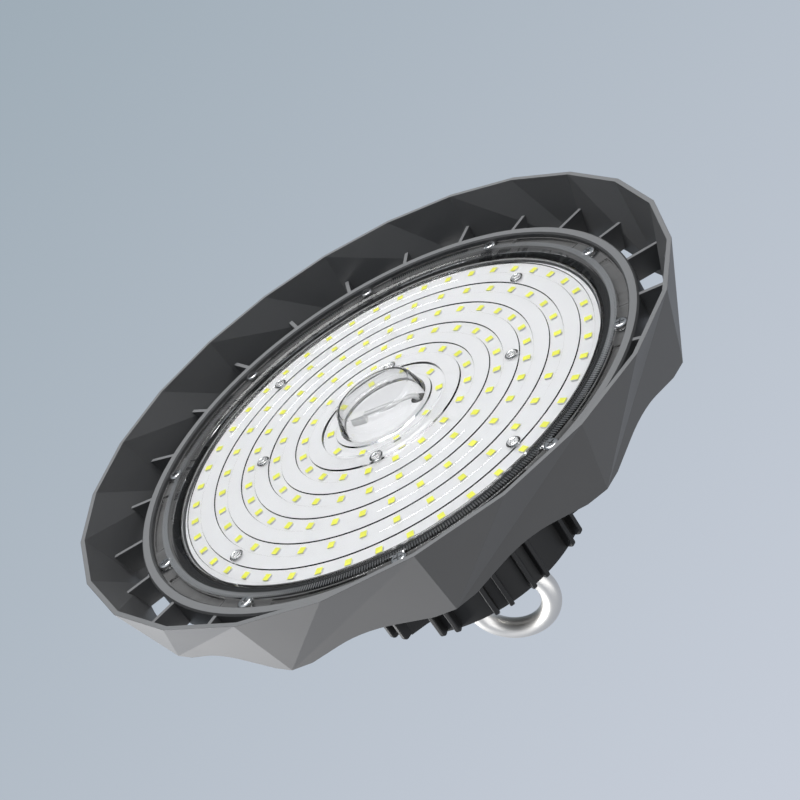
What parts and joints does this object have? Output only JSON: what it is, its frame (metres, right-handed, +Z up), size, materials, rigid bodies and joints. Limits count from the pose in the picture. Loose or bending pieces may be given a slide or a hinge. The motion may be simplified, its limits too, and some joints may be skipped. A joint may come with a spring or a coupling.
{
  "type": "high bay light",
  "caption": "Round hanging high bay light: faceted heat sink skirt, clear ringed lens, ribbed driver housing, cable gland and lifting eye on top.",
  "frame": {"origin": "centre of the front rim, on the plane of that rim", "axes": "+Z up through the middle of the lens, the driver housing and the eye bolt; +X through a corner of the rim"},
  "size_m": [0.3, 0.3, 0.1716],
  "materials": {
    "black_casting": "black satin powder coat on a die casting",
    "clear_lens": "clear moulded plastic",
    "white_board": "white solder mask on a metal core",
    "yellow_chips": "yellow phosphor",
    "white_plastic": "moulded",
    "grey_pad": "soft sheet",
    "black_rubber": "moulded rubber",
    "steel": "satin stainless",
    "black_plastic": "moulded",
    "lead_cover": "soft insulation over copper",
    "green_board": "glass fibre laminate",
    "capacitor_can": "sleeved can",
    "film_block": "dipped",
    "ferrite": "ground ferrite",
    "copper_winding": "enamelled wire",
    "bare_aluminium": "bare extrusion",
    "green_plastic": "moulded",
    "fuse_glass": "glass tube"
  },
  "bodies": {
    "root": {"board_screws": "steel", "board_terminal": "white_plastic", "bulk_capacitors": "capacitor_can", "cable_gland_body": "black_plastic", "cover_gasket": "black_rubber", "cover_screws": "steel", "driver_board": "green_board", "driver_board_screws": "steel", "driver_cover": "black_casting", "driver_housing": "black_casting", "eye_bolt": "steel", "eye_nut": "steel", "eye_washer_inner": "steel", "eye_washer_outer": "steel", "film_capacitor": "film_block", "filter_choke": "copper_winding", "fuse": "fuse_glass", "gland_cap": "black_plastic", "gland_locknut": "black_plastic", "gland_seal": "black_rubber", "gland_washer": "black_rubber", "heat_sink_body": "black_casting", "housing_gasket": "black_rubber", "housing_screws": "steel", "led_board": "white_board", "led_chips": "yellow_chips", "lens": "clear_lens", "lens_gasket": "black_rubber", "lens_screws": "steel", "mains_terminal_block": "green_plastic", "output_capacitors": "capacitor_can", "output_leads": "lead_cover", "power_transistors": "black_plastic", "thermal_pad": "grey_pad", "transformer_core": "ferrite", "transformer_winding": "copper_winding", "transistor_heat_plate": "bare_aluminium", "vent_plug": "black_plastic", "wire_grommet": "black_rubber"}
  },
  "joints": []
}
